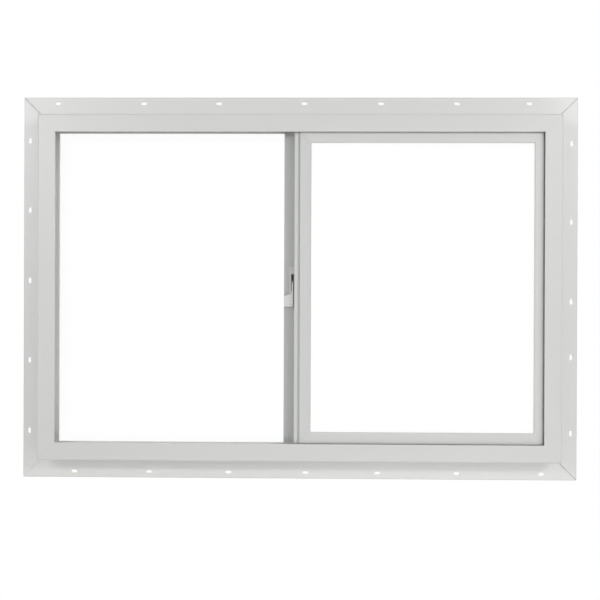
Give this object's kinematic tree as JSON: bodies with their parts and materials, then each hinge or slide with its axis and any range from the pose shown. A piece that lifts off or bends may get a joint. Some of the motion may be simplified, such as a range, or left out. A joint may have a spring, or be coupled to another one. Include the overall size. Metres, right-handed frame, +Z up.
{
  "type": "horizontal sliding window",
  "caption": "White vinyl sliding window with a nail fin, a fixed lite on the left and a sash on the right that slides behind the frame's lip, with a thumb latch.",
  "frame": {"origin": "on the sill's nail fin, midway along it and midway across its width, on the face that bears on the wall", "axes": "+X to the right seen from the room, +Y from the room to the outside, +Z up"},
  "size_m": [0.9776, 0.083, 0.6729],
  "materials": {
    "white_vinyl": "satin",
    "clear_glass": "polished",
    "spacer_bar": "mill",
    "glazing_tape": "foam",
    "setting_rubber": "matt",
    "pile": "woven pile",
    "nylon": "moulded",
    "latch_plastic": "moulded"
  },
  "bodies": {
    "frame": {"frame_head": "white_vinyl", "frame_sill": "white_vinyl", "frame_jamb_left": "white_vinyl", "frame_jamb_right": "white_vinyl", "fixed_meeting_stile": "white_vinyl", "fixed_glass_inner": "clear_glass", "fixed_glass_outer": "clear_glass", "fixed_glass_spacer": "spacer_bar", "fixed_glazing_tape": "glazing_tape", "fixed_setting_blocks": "setting_rubber", "fixed_bead_head": "white_vinyl", "fixed_bead_sill": "white_vinyl", "fixed_bead_jamb": "white_vinyl"},
    "sash": {"sash_top_rail": "white_vinyl", "sash_bottom_rail": "white_vinyl", "sash_jamb_stile": "white_vinyl", "sash_meeting_stile": "white_vinyl", "sash_glass_inner": "clear_glass", "sash_glass_outer": "clear_glass", "sash_glass_spacer": "spacer_bar", "sash_glazing_tape": "glazing_tape", "sash_setting_blocks": "setting_rubber", "sash_bead_top": "white_vinyl", "sash_bead_bottom": "white_vinyl", "sash_bead_jamb": "white_vinyl", "sash_bead_meeting": "white_vinyl", "sash_pile_top": "pile", "sash_pile_bottom": "pile", "sash_pile_jamb": "pile", "sash_glide_left": "nylon", "sash_glide_right": "nylon", "latch_housing": "latch_plastic"},
    "latch": {"latch_slide": "latch_plastic"}
  },
  "joints": [
    {"name": "sash_slide", "type": "slide", "parent": "frame", "child": "sash", "axis": [-1, 0, 0], "range_m": [0, 0.375]},
    {"name": "latch_lift", "type": "slide", "parent": "sash", "child": "latch", "axis": [0, 0, 1], "range_m": [0, 0.01]}
  ]
}
